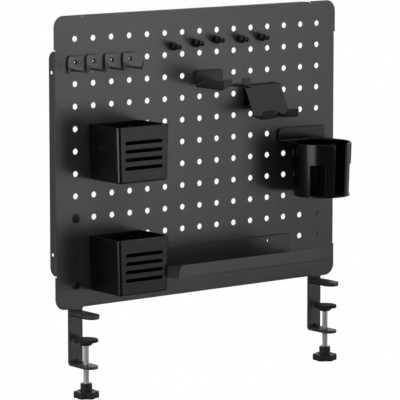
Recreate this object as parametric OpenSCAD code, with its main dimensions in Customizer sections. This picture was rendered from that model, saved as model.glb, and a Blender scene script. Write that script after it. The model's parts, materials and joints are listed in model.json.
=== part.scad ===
// Clamp-on pegboard desk organizer: a perforated steel panel on two desk clamps, with magnetic holders.
// Origin: on the desk top, midway between the clamps, at the back face of the panel.
// +X is right, +Y is away from the person at the desk, +Z is up.

/* [Panel] */
// Peg holes across
hole_cols = 15; // [15:1:20]
// Peg holes down
hole_rows = 12; // [12:1:15]
// Distance between peg holes
pitch = 38.1; // [36:0.1:44]
// Peg hole diameter
peg_hole_d = 10; // [6:0.5:12]
// Panel edge to the first column of holes
side_margin = 43; // [30:0.5:60]
// Panel edge to the first row of holes
end_margin = 40; // [30:0.5:60]
// Radius of the panel's four corners
panel_corner_r = 19.5; // [5:0.5:25]
// Panel sheet thickness
panel_t = 1.2; // [0.8:0.1:2]
// Bottom edge of the panel above the desk
desk_gap = 11.5; // [10:0.5:30]

/* [Panel flanges] */
// Depth of the folded flanges, behind the panel's back face
flange_depth = 15.8; // [10:0.1:25]
// Length of each side flange
side_flange_l = 381; // [200:1:430]
// Length of the top and bottom flanges
end_flange_l = 500; // [300:1:502]
// Setback of a flange's outer face from the panel's edge
flange_setback = 1.2; // [0.4:0.1:3]
// Radius of the flanges' free corners
flange_corner_r = 15; // [4:0.5:15]
// Inside bend radius of the flanges
panel_bend_r = 1; // [0.5:0.1:2]
// Width of the relief notch at each end of a bend
relief_w = 2; // [1:0.1:4]
// Diameter of the two holes in each side flange
flange_hole_d = 6.4; // [4:0.1:8]
// Distance between the two holes in a side flange
flange_hole_span = 309; // [150:1:340]
// Flange holes behind the panel's back face
flange_hole_set = 8.6; // [6:0.1:10]

/* [Clamp brackets] */
// Width of the flat bar
bar_w = 28; // [24:0.5:40]
// Thickness of the flat bar
bar_t = 5; // [4:0.5:8]
// Bar end above the upper screw
bar_over_screw = 15.2; // [10:0.1:20]
// Corner radius of the bar's upper end
bar_end_r = 4; // [0.5:0.5:10]
// Desk top down to the lower arm
throat_h = 81.3; // [70:0.1:100]
// Inside bend radius of the bar
bar_bend_r = 1; // [0.5:0.1:3]
// Length of the lower arm, from the front of the bar to its tip
arm_reach = 53.1; // [48:0.1:70]
// Length of the upper jaw, from the front of the bar to its tip
jaw_reach = 57.8; // [50:0.1:80]
// Thickness of the soft lining under the jaw
jaw_pad_t = 2; // [1:0.1:4]
// Setback of the lining from the jaw's outline
jaw_pad_inset = 0.5; // [0.2:0.1:2]
// Diameter of the small hole at the foot of the bar
foot_hole_d = 5; // [3:0.5:6]
// Centre of that hole above the lower arm
foot_hole_rise = 3.2; // [3:0.1:10]

/* [Clamp screws] */
// Diameter over the thread of the clamp rod
rod_d = 9.9; // [8:0.1:12]
// Rod axis in front of the bar
rod_reach = 28.6; // [24:0.1:34]
// Desk thickness that the clamp is shown set to
desk_t = 37; // [12:0.5:66]
// Foot's upper face down to the top of the knob
rod_free_l = 76.5; // [70:0.5:110]
// Diameter of the pressure foot
foot_d = 42; // [34:0.5:48]
// Thickness of the foot's plate
foot_plate_t = 2.5; // [2:0.1:5]
// Thickness of the foot's soft lining
foot_pad_t = 2; // [1:0.1:4]
// Diameter of the foot's boss under the plate
foot_boss_d = 24; // [18:0.5:28]
// Diameter of the boss at its lower end
foot_neck_d = 14; // [13:0.5:20]
// Height of the boss
foot_boss_h = 6.5; // [5:0.1:12]
// Steel left between the rod's end and the lining
foot_web_t = 1.2; // [0.8:0.1:2]
// Diameter of the knob's hub
hub_d = 20; // [16:0.5:26]
// Height of the knob's hub
hub_h = 13.5; // [8:0.5:20]
// Diameter over the knob's lobes
knob_d = 43.5; // [36:0.5:56]
// Height of the lobed part
knob_h = 11; // [9:0.5:20]
// Number of lobes
knob_lobes = 6; // [5:1:9]
// Depth of the hollows between the lobes
lobe_depth = 4; // [2:0.5:6]
// Turn at which the knob is left, in degrees
knob_turn = 24; // [0:1:59]
// Rounding of the knob's top and bottom edges
knob_edge_r = 1.5; // [1:0.5:4]
// Solid cap of the knob below the rod
knob_cap_t = 3; // [2:0.5:6]

/* [Bracket screws] */
// Diameter of the button head
head_d = 15.5; // [13:0.1:18]
// Height of the button head
head_h = 4.4; // [3:0.1:6]
// Straight edge under the dome
head_edge_h = 0.8; // [0.4:0.1:2]
// Diameter of the screw
screw_d = 8; // [5:0.5:8]
// Width across flats of the hexagon socket
socket_w = 5; // [3:0.5:6]
// Depth of the socket
socket_depth = 2.6; // [1.5:0.1:3]

/* [Bins] */
// Column of the bins, in pitches from the left
bin_col_share = 3.1; // [2.9:0.05:3.5]
// Rows of the bins' rims, in pitches from the top
bin_row_shares = [5, 10];
// Outer width at the rim
bin_w = 108; // [90:1:120]
// Front face in front of the panel
bin_reach = 86; // [60:1:110]
// Height
bin_h = 94; // [70:1:120]
// Narrowing of each side towards the bottom
bin_draft = 2.6; // [0:0.1:5]
// Back wall's gap to the panel at the rim
bin_back_gap = 0.9; // [0.4:0.1:1.5]
// Forward lean of the back wall towards the bottom
bin_back_lean = 2.8; // [1:0.1:3]
// Wall thickness
bin_wall = 2; // [1.5:0.1:3]
// Radius of the front corners
bin_front_r = 6; // [4:0.5:10]
// Radius of the back corners
bin_back_r = 2.5; // [2.5:0.5:6]
// Radius of the bottom edges
bin_bottom_r = 5.5; // [4:0.5:10]
// Number of slots in the front
slot_count = 4; // [2:1:5]
// Length of a slot
slot_l = 77.8; // [50:0.1:84]
// Height of a slot
slot_h = 6.1; // [3:0.1:9]
// First slot's centre below the rim
slot_drop = 26.7; // [15:0.1:28]
// Distance between slots
slot_step = 14.3; // [11:0.1:16]
// Diameter of a magnet
bin_magnet_d = 15; // [10:0.5:18]
// Thickness of a magnet
bin_magnet_t = 3; // [2:0.1:3.5]
// Wall of the boss round a magnet
magnet_boss_wall = 1.5; // [1:0.1:3]
// Depth of the boss behind a magnet
magnet_boss_floor = 2; // [2:0.1:4]
// Magnet centres in from the bin's edges
bin_magnet_inset = 18; // [15:0.5:30]

/* [Sheet holders] */
// Sheet thickness of the hanger and the phone holder
sheet_t = 2; // [1.5:0.1:3]
// Thickness of the magnet behind a back plate
magnet_t = 3; // [2:0.1:4]
// Setback of a magnet from the edge of its plate
magnet_inset = 0.5; // [0.2:0.1:0.9]
// Top edge of a holder above the row of holes it is set to
top_over_row = 7.1; // [5:0.1:10]
// Radius of the back plates' corners
plate_corner_r = 4.5; // [1:0.5:6]

/* [Cup holder] */
// Column and row of the plate's top edge, in pitches
cup_place_shares = [14, 6];
// Width of the plate and of the shelf
cup_plate_w = 106; // [104:0.5:110]
// Plate's top edge above the rim
cup_plate_rise = 21.5; // [14:0.5:40]
// Cup axis in front of the panel
cup_reach = 60.4; // [58:0.1:80]
// Outer radius at the rim
cup_rim_r = 53; // [46:0.1:53]
// Outer radius at the bottom
cup_bottom_r = 50.1; // [42:0.1:51]
// Height of the cup
cup_h = 95.2; // [80:0.5:120]
// Thickness of the plate, with the magnet sunk in its back
cup_plate_t = 5.8; // [5:0.1:7]
// Margin of the plate round the sunk magnet
cup_magnet_margin = 4; // [3:0.5:6]
// Wall thickness of the cup
cup_wall = 2.3; // [1.8:0.1:3]
// Thickness of the base
cup_base_t = 3; // [2:0.1:4]
// Thickness of the shelf between the plate and the cup
cup_shelf_t = 2.5; // [1.5:0.1:4]
// Width of the slot for a mug's handle
handle_slot_w = 23; // [14:0.5:30]
// Rounding of the rim beside that slot
handle_slot_r = 5; // [2:0.5:8]
// Width of the two windows
window_w = 27; // [15:0.5:32]
// Upper edge of the windows above the cup's bottom
window_top = 58; // [30:1:75]
// Corner radius of the windows
window_r = 3; // [1:0.5:6]
// Turn of each window from the handle slot, in degrees
window_turn = 49; // [42:1:60]

/* [Headphone hanger] */
// Column and row of the plate's top edge, in pitches
hanger_place_shares = [8.48, 3];
// Width
hanger_w = 60; // [50:0.5:66]
// Plate's top edge above the crown of the saddle
hanger_plate_rise = 18; // [14:0.5:30]
// Front face in front of the panel
hanger_reach = 81.4; // [60:0.5:100]
// Radius of the saddle's arch
saddle_r = 60; // [45:1:90]
// Inside bend radius
hanger_bend_r = 2; // [1:0.5:4]
// Width of each front tab
tab_w = 19; // [12:0.5:24]
// Tabs' outer ends above the crown of the saddle
tab_rise = 9; // [6:0.5:16]
// Corner radius of the tabs
tab_r = 3.5; // [1:0.5:5]

/* [Phone holder] */
// Column and row of the fold, in pitches
phone_place_shares = [11.54, 3.83];
// Width
phone_w = 81.5; // [70:0.5:110]
// Height of the back plate
phone_plate_h = 34.8; // [25:0.1:45]
// Tilt of the rest, in degrees from upright
phone_tilt = 27.5; // [15:0.5:35]
// Fold's top down to the top of the ledge
phone_drop = 52; // [40:0.5:70]
// Depth of the ledge
phone_ledge = 22; // [12:0.5:30]
// Fall of the ledge towards the front
phone_ledge_fall = 2.5; // [0:0.5:5]
// Height of the lips above the front of the ledge
phone_lip_h = 14.5; // [8:0.5:20]
// Forward lean of the lips
phone_lip_lean = 3; // [0:0.5:6]
// Width of the gap for a cable
cable_gap_w = 28.5; // [12:0.5:34]
// Radius of the lips' corners
phone_lip_r = 3; // [1:0.5:6]
// Inside radius of the fold and the bends
phone_bend_r = 1; // [0.5:0.1:2]

/* [Tray] */
// Row of the plate's top edge, in pitches from the top
tray_row_share = 11; // [9:0.5:11]
// Gap between the bins' right side and the tray's left end
tray_bin_gap = 4.29; // [2:0.01:10]
// Length
tray_l = 333; // [200:1:340]
// Sheet thickness
tray_t = 1.5; // [1:0.1:2.5]
// Plate's top edge down to the underside of the floor
tray_drop = 35.3; // [28:0.1:36]
// Front face in front of the panel
tray_reach = 106.4; // [60:0.1:120]
// Height of the front lip
tray_lip_h = 23.1; // [10:0.1:35]
// Radius of the lip's upper corners
tray_lip_r = 13; // [2:0.5:18]
// Inside bend radius
tray_bend_r = 1.5; // [1:0.1:4]
// Diameter of the two holes in the plate
tray_hole_d = 6; // [3:0.5:8]
// Holes below the plate's top edge
tray_hole_drop = 8.4; // [8:0.1:12]
// Pitches between the two holes
tray_hole_pitches = 6; // [2:1:7]

/* [Hooks] */
// Column and row of the first hook's top edge, in pitches
hook_place_shares = [0.97, 1.94];
// Width and height of the plate
hook_plate_w = 30; // [24:0.5:36]
// Radius of the plate's corners
hook_plate_r = 4; // [1:0.5:6]
// Sheet thickness
hook_t = 2; // [1:0.1:3]
// Thickness of the magnet
hook_magnet_t = 1.7; // [1:0.1:3]
// Diameter of the hole in the plate
hook_hole_d = 6; // [3:0.5:8]
// Hole below the plate's top edge
hook_hole_drop = 10.5; // [8:0.5:12]
// Diameter of the two small holes beside the arm
hook_side_hole_d = 3.5; // [2:0.1:4]
// Distance between those two holes
hook_side_hole_span = 16.6; // [15:0.1:20]
// Width of the arm
hook_arm_w = 7; // [5:0.5:10]
// Underside of the arm above the plate's bottom edge
hook_arm_rise = 5; // [3:0.5:8]
// Arm's outer bend in front of the panel
hook_reach = 48.9; // [30:0.1:60]
// Height of the upturned tip over the arm's underside
hook_tip_h = 15.5; // [8:0.5:20]
// Forward lean of the tip
hook_tip_lean = 4; // [0:0.5:6]
// Inside bend radius
hook_bend_r = 1.5; // [1:0.1:2]

/* [Push pins] */
// Diameter of the base
pin_base_d = 14; // [11:0.5:18]
// Height of the straight part of the base
pin_base_h = 4; // [3:0.5:6]
// Diameter of the neck
pin_neck_d = 7; // [4:0.5:8]
// Neck in front of the panel
pin_neck_at = 15; // [10:0.5:18]
// Diameter of the ball
pin_ball_d = 9; // [8:0.5:12]
// Ball's centre in front of the panel
pin_ball_at = 22; // [20:0.5:28]
// Diameter of the magnet
pin_magnet_d = 10; // [6:0.5:10]
// Thickness of the magnet
pin_magnet_t = 2.5; // [1:0.1:3]

/* [Fits] */
// Gap all round between a part and the hole that it sits in
fit_gap = 0.05; // [0.02:0.01:0.1]

/* [Hidden] */
// Columns and rows of the push pins, in pitches
pin_place_shares = [[6.39, 1.61], [7.68, 1.53], [8.88, 1.44], [10.31, 1.48], [11.52, 1.46]];
// How far a cutter runs past the surface it cuts
overrun = 1;
// Steps in a rounded corner and in a bend
corner_steps = 8;
bend_steps = 8;
// Sides of a round hole or pin, of a large round and of a part joined by hull()
hole_fn = 28;
round_fn = 96;
hull_fn = 32;
// Faces along a knob's lobe
lobe_steps = 10;
// Steps in a dome and in a pin's hollow neck
dome_steps = 6;
neck_steps = 8;

panel_w = (hole_cols - 1) * pitch + 2 * side_margin;
panel_h = (hole_rows - 1) * pitch + 2 * end_margin;
panel_mid_z = desk_gap + panel_h / 2;
front_y = -panel_t;
clamp_x = (hole_cols - 1) / 2 * pitch;
screw_rows = [hole_rows - 3, hole_rows];
arm_top_z = -throat_h;
arm_mid_z = arm_top_z - bar_t / 2;
foot_top_z = -desk_t;
foot_plate_z = foot_top_z - foot_pad_t - foot_plate_t;
foot_low_z = foot_plate_z - foot_boss_h;
rod_top_z = foot_top_z - foot_pad_t - foot_web_t;
hub_top_z = foot_top_z - rod_free_l;
knob_top_z = hub_top_z - hub_h;
knob_low_z = knob_top_z - knob_h;
rod_low_z = knob_low_z + knob_cap_t;
tray_mid_x = (bin_col_share - (hole_cols + 1) / 2) * pitch + bin_w / 2 + tray_bin_gap + tray_l / 2;

// Grid places: columns count from the left and rows from the top, and both may be fractions
function col_x(col) = (col - (hole_cols + 1) / 2) * pitch;
function row_z(row) = desk_gap + end_margin + (hole_rows - row) * pitch;

// An arc of points round a centre, from one angle to another
function arc(centre, r, from, to, steps = corner_steps) = [
    for (i = [0 : steps])
        let (a = from + (to - from) * i / steps)
        centre + r * [cos(a), sin(a)]
];

// One corner of an outline: a point, or an arc where it has a radius
function corner(x, z, toward_x, toward_z, r, from) =
    r > 0 ? arc([x + toward_x * r, z + toward_z * r], r, from, from + 90) : [[x, z]];

// A box outline whose top and bottom corners have their own radii
function box_outline(x0, x1, z0, z1, top_r, bottom_r = 0) = concat(
    corner(x1, z1, -1, -1, top_r, 0),
    corner(x0, z1, 1, -1, top_r, 90),
    corner(x0, z0, 1, 1, bottom_r, 180),
    corner(x1, z0, -1, 1, bottom_r, 270)
);

function unit(v) = v / norm(v);
function left_of(v) = [-v[1], v[0]];
function turned(v, a) = [v[0] * cos(a) - v[1] * sin(a), v[0] * sin(a) + v[1] * cos(a)];
function turn_between(v, w) = atan2(v[0] * w[1] - v[1] * w[0], v * w);
function reversed(list) = [for (i = [len(list) - 1 : -1 : 0]) list[i]];

// One face of a bent sheet: its middle line moved sideways by off, with an arc at each bend
function sheet_face(path, bend_r, off) = concat(
    [path[0] + off * left_of(unit(path[1] - path[0]))],
    [
        for (i = [1 : len(path) - 2])
            let (
                way_in = unit(path[i] - path[i - 1]),
                way_out = unit(path[i + 1] - path[i]),
                turn = turn_between(way_in, way_out),
                hand = sign(turn),
                start = path[i] - bend_r * tan(abs(turn) / 2) * way_in,
                centre = start + hand * bend_r * left_of(way_in)
            )
            for (k = [0 : bend_steps])
                centre + turned((off - hand * bend_r) * left_of(way_in), turn * k / bend_steps)
    ],
    [let (n = len(path)) path[n - 1] + off * left_of(unit(path[n - 1] - path[n - 2]))]
);

// The section of a sheet bent along its middle line, with one inside bend radius
function sheet_section(path, inside_r, t) = concat(
    sheet_face(path, inside_r + t / 2, t / 2),
    reversed(sheet_face(path, inside_r + t / 2, -t / 2))
);

// A section drawn in Y and Z, drawn out along X and centred on it
module along_x(w) {
    rotate([90, 0, 90])
        linear_extrude(w, center = true)
            children();
}

// An outline drawn in X and Z, drawn out towards the front from Y = 0
module to_front(depth) {
    rotate([90, 0, 0])
        linear_extrude(depth)
            children();
}

// A round bar along Y, from y0 forward by l
module bar_along_y(d, l, sides = hole_fn) {
    rotate([90, 0, 0])
        cylinder(d = d, h = l, $fn = sides);
}

// Puts a holder on the front of the panel, with z = 0 at its top edge
module at_place(col, row) {
    translate([col_x(col), front_y, row_z(row) + top_over_row])
        children();
}

module panel_outline() {
    difference() {
        polygon(box_outline(-panel_w / 2, panel_w / 2, -panel_h / 2, panel_h / 2,
            panel_corner_r, panel_corner_r));
        flange_cutouts();
    }
}

// The sheet's edge is cut back where a bend starts, with a relief notch at each end
module flange_cutouts() {
    cut = flange_setback + panel_t + panel_bend_r;
    for (side = [-1, 1]) {
        translate([side * (panel_w - cut + overrun) / 2, 0])
            square([cut + overrun, side_flange_l + 2 * relief_w], center = true);
        translate([0, side * (panel_h - cut + overrun) / 2])
            square([end_flange_l + 2 * relief_w, cut + overrun], center = true);
    }
}

// A flange on the +X edge of a sheet of the given width, as long as l, with rounded free corners
module flange(sheet_w, l) {
    face_x = sheet_w / 2 - flange_setback;
    path = [
        [face_x - panel_t - 2 * panel_bend_r - panel_t, -panel_t / 2],
        [face_x - panel_t / 2, -panel_t / 2],
        [face_x - panel_t / 2, flange_depth]
    ];
    intersection() {
        linear_extrude(l, center = true)
            polygon(sheet_section(path, panel_bend_r, panel_t));
        translate([sheet_w / 2, 0, 0])
            rotate([90, 0, 90])
                linear_extrude(sheet_w / 4, center = true)
                    polygon(box_outline(-flange_depth, flange_depth, -l / 2, l / 2,
                        flange_corner_r, flange_corner_r));
    }
}

module peg_holes() {
    for (col = [1 : hole_cols])
        for (row = [1 : hole_rows])
            translate([col_x(col), overrun, row_z(row)])
                bar_along_y(peg_hole_d, panel_t + 2 * overrun);
}

module flange_holes() {
    for (side = [-1, 1])
        for (end = [-1, 1])
            translate([side * panel_w / 2, flange_hole_set, panel_mid_z + end * flange_hole_span / 2])
                rotate([0, 90, 0])
                    cylinder(d = flange_hole_d, h = 2 * (flange_setback + panel_t + overrun),
                        center = true, $fn = hole_fn);
}

module pegboard_panel() {
    color("#434446")
        difference() {
            translate([0, 0, panel_mid_z]) {
                to_front(panel_t)
                    panel_outline();
                for (half_turn = [0, 180])
                    rotate([0, half_turn, 0])
                        flange(panel_w, side_flange_l);
                for (quarter_turn = [-90, 90])
                    rotate([0, quarter_turn, 0])
                        flange(panel_h, end_flange_l);
            }
            peg_holes();
            flange_holes();
        }
}

// A flat tongue of bar that runs forward from the bar's front and ends in a half circle
module tongue(reach, w, t) {
    tip_y = reach - w / 2;
    translate([-w / 2, -tip_y, 0])
        cube([w, tip_y, t]);
    translate([0, -tip_y, 0])
        cylinder(d = w, h = t, $fn = round_fn);
}

module clamp_bracket(x) {
    bar_top_z = row_z(screw_rows[0]) + bar_over_screw;
    bend_y = -2 * bar_t;
    path = [[bar_t / 2, bar_top_z], [bar_t / 2, arm_mid_z], [bend_y, arm_mid_z]];
    color("#3a3b3d")
        translate([x, 0, 0])
            difference() {
                union() {
                    intersection() {
                        along_x(bar_w)
                            polygon(sheet_section(path, bar_bend_r, bar_t));
                        translate([0, 2 * bar_t, 0])
                            to_front(4 * bar_t)
                                polygon(box_outline(-bar_w / 2, bar_w / 2, arm_mid_z - bar_t,
                                    bar_top_z, bar_end_r));
                    }
                    translate([0, -bar_t, arm_mid_z - bar_t / 2])
                        tongue(arm_reach - bar_t, bar_w, bar_t);
                }
                for (row = screw_rows)
                    translate([0, bar_t + overrun, row_z(row)])
                        bar_along_y(screw_d + 2 * fit_gap, bar_t + 2 * overrun);
                translate([0, bar_t + overrun, arm_top_z + foot_hole_rise])
                    bar_along_y(foot_hole_d, bar_t + 2 * overrun);
                translate([0, -rod_reach, arm_top_z - bar_t - overrun])
                    cylinder(d = rod_d + 2 * fit_gap, h = bar_t + 2 * overrun, $fn = hole_fn);
            }
}

module upper_jaw(x) {
    color("#3a3b3d")
        translate([x, 0, jaw_pad_t])
            tongue(jaw_reach, bar_w, bar_t);
}

module jaw_pad(x) {
    color("#1d1d1e")
        translate([x, -jaw_pad_inset, 0])
            tongue(jaw_reach - 2 * jaw_pad_inset, bar_w - 2 * jaw_pad_inset, jaw_pad_t);
}

// Two button-head screws, through the lowest and the upper peg hole in front of a bar
module bracket_screws(x) {
    profile = concat(
        [[0, 0], [head_d / 2, 0]],
        [
            for (i = [0 : dome_steps - 1])
                let (a = 90 * i / dome_steps)
                [head_d / 2 * cos(a), head_edge_h + (head_h - head_edge_h) * sin(a)]
        ],
        [[0, head_h]]
    );
    color("#262627")
        for (row = screw_rows)
            translate([x, front_y, row_z(row)]) {
                rotate([90, 0, 0])
                    difference() {
                        rotate_extrude($fn = round_fn)
                            polygon(profile);
                        translate([0, 0, head_h - socket_depth])
                            rotate([0, 0, 30])
                                cylinder(d = socket_w / cos(30), h = socket_depth + overrun, $fn = 6);
                    }
                translate([0, panel_t + bar_t, 0])
                    bar_along_y(screw_d, panel_t + bar_t);
            }
}

module clamp_rod(x) {
    color("#c3c6ca")
        translate([x, -rod_reach, rod_low_z])
            cylinder(d = rod_d, h = rod_top_z - rod_low_z, $fn = round_fn);
}

// Lobed grip under a round hub, moulded on the rod's lower end
module clamp_knob(x) {
    lobe_pitch = 360 / knob_lobes;
    grip = [
        for (i = [0 : knob_lobes * lobe_steps - 1])
            let (
                a = lobe_pitch * i / lobe_steps,
                r = knob_d / 2 - lobe_depth * pow(sin(a * knob_lobes / 2), 2)
            )
            r * [cos(a + knob_turn), sin(a + knob_turn)]
    ];
    edge = concat(
        [[0, knob_h], [0, 0]],
        arc([knob_d / 2 - knob_edge_r, knob_edge_r], knob_edge_r, -90, -20),
        [[knob_d / 2 + overrun, knob_edge_r], [knob_d / 2 + overrun, knob_h - knob_edge_r]],
        arc([knob_d / 2 - knob_edge_r, knob_h - knob_edge_r], knob_edge_r, 20, 90)
    );
    color("#1f1f20")
        translate([x, -rod_reach, knob_low_z])
            difference() {
                union() {
                    intersection() {
                        linear_extrude(knob_h)
                            polygon(grip);
                        rotate_extrude($fn = round_fn)
                            polygon(edge);
                    }
                    cylinder(d = hub_d, h = knob_h + hub_h, $fn = round_fn);
                }
                translate([0, 0, knob_cap_t])
                    cylinder(d = rod_d + 2 * fit_gap, h = knob_h + hub_h, $fn = hole_fn);
            }
}

// Round pressure plate with a tapered boss that turns on the rod's end
module clamp_foot(x) {
    round_out = (foot_boss_d - foot_neck_d) / 2;
    boss = [
        for (i = [0 : dome_steps])
            let (a = 90 * i / dome_steps)
            [foot_neck_d / 2 + round_out * cos(a), foot_boss_h * (1 - sin(a))]
    ];
    color("#232324")
        translate([x, -rod_reach, foot_low_z])
            difference() {
                union() {
                    rotate_extrude($fn = round_fn)
                        polygon(concat(boss, [[0, 0], [0, foot_boss_h]]));
                    translate([0, 0, foot_boss_h])
                        cylinder(d = foot_d, h = foot_plate_t, $fn = round_fn);
                }
                translate([0, 0, -overrun])
                    cylinder(d = rod_d + 2 * fit_gap, h = rod_top_z - foot_low_z + overrun,
                        $fn = hole_fn);
            }
}

module foot_pad(x) {
    color("#19191a")
        translate([x, -rod_reach, foot_top_z - foot_pad_t])
            cylinder(d = foot_d - 2 * jaw_pad_inset, h = foot_pad_t, $fn = round_fn);
}

// The four corners of a bin, drawn in by a wall, joined from the rim down to the bottom
module bin_block(inset, rim_z, floor_z) {
    bottom_r = bin_bottom_r - inset;
    hull()
        for (side = [-1, 1]) {
            translate([side * (bin_w / 2 - bin_front_r), bin_front_r - bin_reach, rim_z - bin_wall])
                cylinder(r = bin_front_r - inset, h = bin_wall, $fn = hull_fn);
            translate([side * (bin_w / 2 - bin_back_r), -bin_back_gap - bin_back_r, rim_z - bin_wall])
                cylinder(r = bin_back_r - inset, h = bin_wall, $fn = hull_fn);
            translate([side * (bin_w / 2 - bin_draft - bin_bottom_r), bin_bottom_r - bin_reach,
                floor_z + bottom_r])
                sphere(r = bottom_r, $fn = hull_fn);
            translate([side * (bin_w / 2 - bin_draft - bin_bottom_r),
                -bin_back_gap - bin_back_lean - bin_bottom_r, floor_z + bottom_r])
                sphere(r = bottom_r, $fn = hull_fn);
        }
}

// Magnet places on the back of a bin
module at_bin_magnets() {
    for (side = [-1, 1])
        for (z = [-bin_magnet_inset, bin_magnet_inset - bin_h])
            translate([side * (bin_w / 2 - bin_draft - bin_magnet_inset), 0, z])
                children();
}

module bin(row) {
    boss_d = bin_magnet_d + 2 * (fit_gap + magnet_boss_wall);
    color("#202123")
        at_place(bin_col_share, row)
            difference() {
                union() {
                    difference() {
                        bin_block(0, 0, -bin_h);
                        bin_block(bin_wall, overrun, bin_wall - bin_h);
                        for (i = [0 : slot_count - 1])
                            translate([0, bin_wall + bin_front_r - bin_reach, -slot_drop - i * slot_step])
                                to_front(2 * bin_wall + bin_front_r)
                                    polygon(box_outline(-slot_l / 2, slot_l / 2, -slot_h / 2, slot_h / 2,
                                        slot_h / 2 - fit_gap, slot_h / 2 - fit_gap));
                    }
                    at_bin_magnets()
                        bar_along_y(boss_d, bin_magnet_t + magnet_boss_floor);
                }
                at_bin_magnets()
                    translate([0, overrun, 0])
                        bar_along_y(bin_magnet_d + 2 * fit_gap, bin_magnet_t + overrun);
            }
}

module bin_magnets(row) {
    color("#8d9094")
        at_place(bin_col_share, row)
            at_bin_magnets()
                bar_along_y(bin_magnet_d, bin_magnet_t);
}

// A flat magnet behind a back plate, set back a little from the plate's edges
module plate_magnet(w, h, t, corner_r = plate_corner_r) {
    translate([0, 0, -h])
        to_front(t)
            polygon(box_outline(magnet_inset - w / 2, w / 2 - magnet_inset, magnet_inset,
                h - magnet_inset, corner_r - magnet_inset, corner_r - magnet_inset));
}

// A cutter that runs outward through the cup's wall, turned from the front by an angle
module cup_cutter(turn) {
    translate([0, -cup_reach, -cup_plate_rise - cup_h])
        rotate([0, 0, turn])
            to_front(cup_rim_r + overrun)
                children();
}

module cup_sleeve() {
    translate([0, -cup_reach, -cup_plate_rise - cup_h])
        rotate_extrude($fn = round_fn)
            polygon([
                [0, 0],
                [cup_bottom_r, 0],
                [cup_rim_r, cup_h],
                [cup_rim_r - cup_wall, cup_h],
                [cup_bottom_r - cup_wall, cup_base_t],
                [0, cup_base_t]
            ]);
}

// Flat shelf from the plate to the cup's rim, as wide as the plate
module cup_shelf() {
    translate([0, 0, -cup_plate_rise - cup_shelf_t])
        difference() {
            translate([-cup_plate_w / 2, -cup_reach, 0])
                cube([cup_plate_w, cup_reach - cup_plate_t / 2, cup_shelf_t]);
            translate([0, -cup_reach, -overrun])
                cylinder(r = cup_rim_r - cup_wall, h = cup_shelf_t + 2 * overrun, $fn = round_fn);
        }
}

module cup_holder() {
    slot_top = cup_h + overrun;
    handle_slot = concat(
        [[-handle_slot_w / 2, cup_base_t], [handle_slot_w / 2, cup_base_t]],
        arc([handle_slot_w / 2 + handle_slot_r, cup_h - handle_slot_r], handle_slot_r, 180, 90),
        [[handle_slot_w / 2 + handle_slot_r, slot_top], [-handle_slot_w / 2 - handle_slot_r, slot_top]],
        arc([-handle_slot_w / 2 - handle_slot_r, cup_h - handle_slot_r], handle_slot_r, 90, 0)
    );
    color("#1e1f21")
        at_place(cup_place_shares[0], cup_place_shares[1]) {
            difference() {
                cup_sleeve();
                cup_cutter(0)
                    polygon(handle_slot);
                for (turn = [-window_turn, window_turn])
                    cup_cutter(turn)
                        polygon(box_outline(-window_w / 2, window_w / 2, cup_base_t, window_top, window_r));
            }
            cup_shelf();
            difference() {
                translate([0, 0, -cup_plate_rise - cup_shelf_t])
                    to_front(cup_plate_t)
                        polygon(box_outline(-cup_plate_w / 2, cup_plate_w / 2, 0,
                            cup_plate_rise + cup_shelf_t, plate_corner_r));
                cup_magnet_block(fit_gap, overrun);
            }
        }
}

// The magnet sunk in the cup holder's plate, or with a gap and an overrun the pocket for it
module cup_magnet_block(gap, over) {
    half_w = cup_plate_w / 2 - cup_magnet_margin + gap;
    translate([0, over, 0])
        to_front(magnet_t + over)
            polygon(box_outline(-half_w, half_w, cup_magnet_margin - gap - cup_plate_rise - cup_shelf_t,
                gap - cup_magnet_margin, 0));
}

module cup_holder_magnet() {
    color("#2b2b2c")
        at_place(cup_place_shares[0], cup_place_shares[1])
            cup_magnet_block(0, 0);
}

// An arched saddle between a back plate and two front tabs, bent from one sheet
module headphone_hanger() {
    axis_z = -hanger_plate_rise - saddle_r;
    plate_mid_y = magnet_t + sheet_t / 2;
    tab_mid_y = hanger_reach - sheet_t / 2;
    saddle_mid_r = saddle_r - sheet_t / 2;
    outer_r = norm([hanger_w / 2, hanger_plate_rise + saddle_r]) + overrun;
    section = sheet_section([
        [outer_r, plate_mid_y],
        [saddle_mid_r, plate_mid_y],
        [saddle_mid_r, tab_mid_y],
        [outer_r, tab_mid_y]
    ], hanger_bend_r, sheet_t);
    color("#3c3d3f")
        at_place(hanger_place_shares[0], hanger_place_shares[1])
            intersection() {
                translate([0, 0, axis_z])
                    rotate([90, 0, 0])
                        rotate_extrude($fn = round_fn)
                            polygon(section);
                union() {
                    to_front(magnet_t + sheet_t)
                        polygon(box_outline(-hanger_w / 2, hanger_w / 2, axis_z + saddle_r / 2, 0,
                            plate_corner_r));
                    translate([0, -magnet_t - sheet_t, 0])
                        to_front(hanger_reach - magnet_t - 2 * sheet_t)
                            polygon(box_outline(-hanger_w / 2, hanger_w / 2, axis_z + saddle_r / 2,
                                -hanger_plate_rise + hanger_bend_r + sheet_t, 0));
                    translate([0, sheet_t - hanger_reach, 0])
                        to_front(sheet_t)
                            hanger_front(axis_z + saddle_r / 2);
                }
            }
}

// Front view of the hanger's front edge: the saddle's end and the two tabs above it
module hanger_front(low_z) {
    difference() {
        polygon(box_outline(-hanger_w / 2, hanger_w / 2, low_z, tab_rise - hanger_plate_rise, tab_r));
        polygon(box_outline(tab_w - hanger_w / 2, hanger_w / 2 - tab_w,
            -hanger_plate_rise - overrun / 2, tab_rise, 0));
    }
}

module headphone_hanger_magnet() {
    color("#2b2b2c")
        at_place(hanger_place_shares[0], hanger_place_shares[1])
            plate_magnet(hanger_w, hanger_plate_rise, magnet_t);
}

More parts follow.
